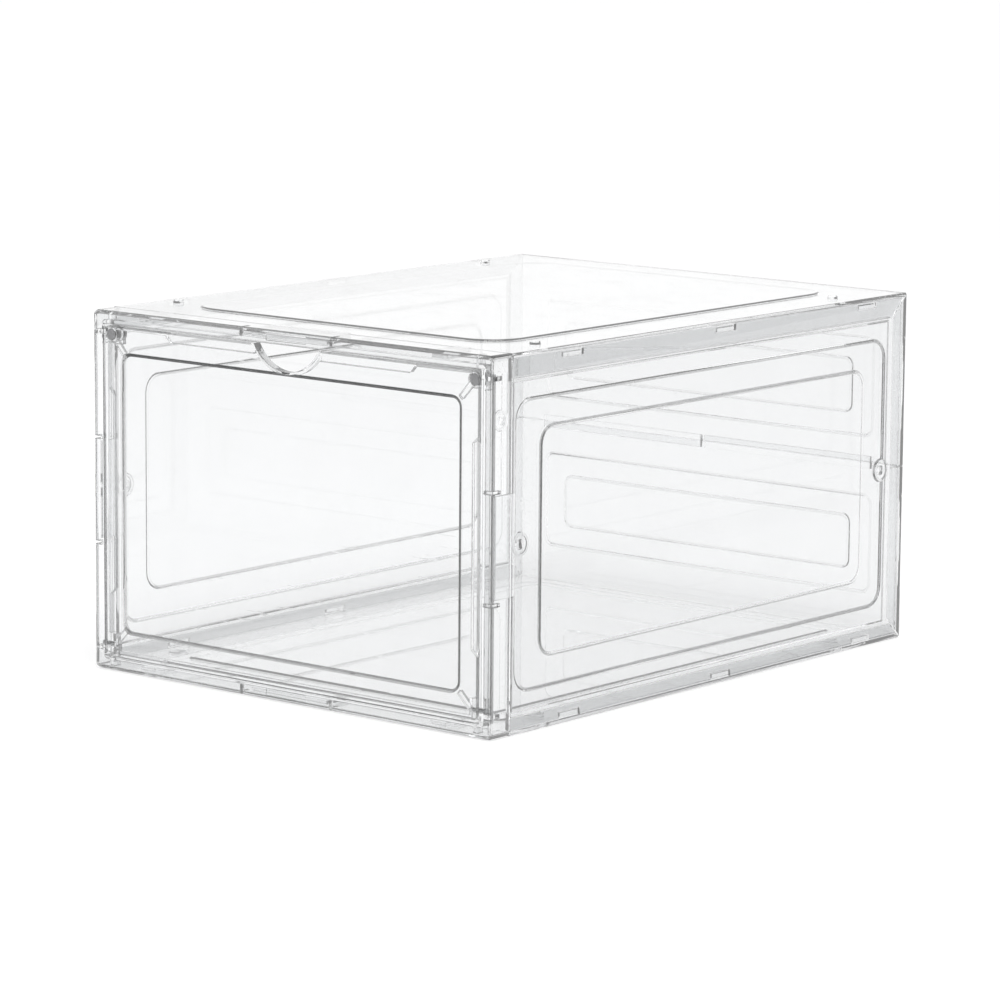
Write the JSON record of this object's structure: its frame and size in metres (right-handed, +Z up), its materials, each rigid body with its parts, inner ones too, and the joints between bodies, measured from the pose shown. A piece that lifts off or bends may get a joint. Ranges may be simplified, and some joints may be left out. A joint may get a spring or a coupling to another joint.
{
  "type": "shoe box",
  "caption": "Clear stackable shoe box with a drop-front door hinged at its foot and held shut by magnets.",
  "frame": {"origin": "centre of the footprint, at the height of the lowest face", "axes": "+Z up, the door faces -Y, +X to the right of someone behind the box looking out through the door"},
  "size_m": [0.262, 0.34, 0.1856],
  "materials": {
    "clear_plastic": "clear, polished",
    "nickel": "nickel plated",
    "steel": "plain"
  },
  "bodies": {
    "box": {"front_frame": "clear_plastic", "top_panel": "clear_plastic", "bottom_panel": "clear_plastic", "left_side_panel": "clear_plastic", "right_side_panel": "clear_plastic", "back_panel_upper": "clear_plastic", "back_panel_lower": "clear_plastic", "frame_magnet_left": "nickel", "frame_magnet_right": "nickel", "hinge_pin_left": "steel", "hinge_pin_right": "steel"},
    "door": {"door_panel": "clear_plastic", "door_magnet_left": "nickel", "door_magnet_right": "nickel"}
  },
  "joints": [
    {"name": "door_hinge", "type": "hinge", "parent": "box", "child": "door", "pos_m": [0, -0.1664, 0.0135], "axis": [1, 0, 0], "range_deg": [0, 90]}
  ]
}
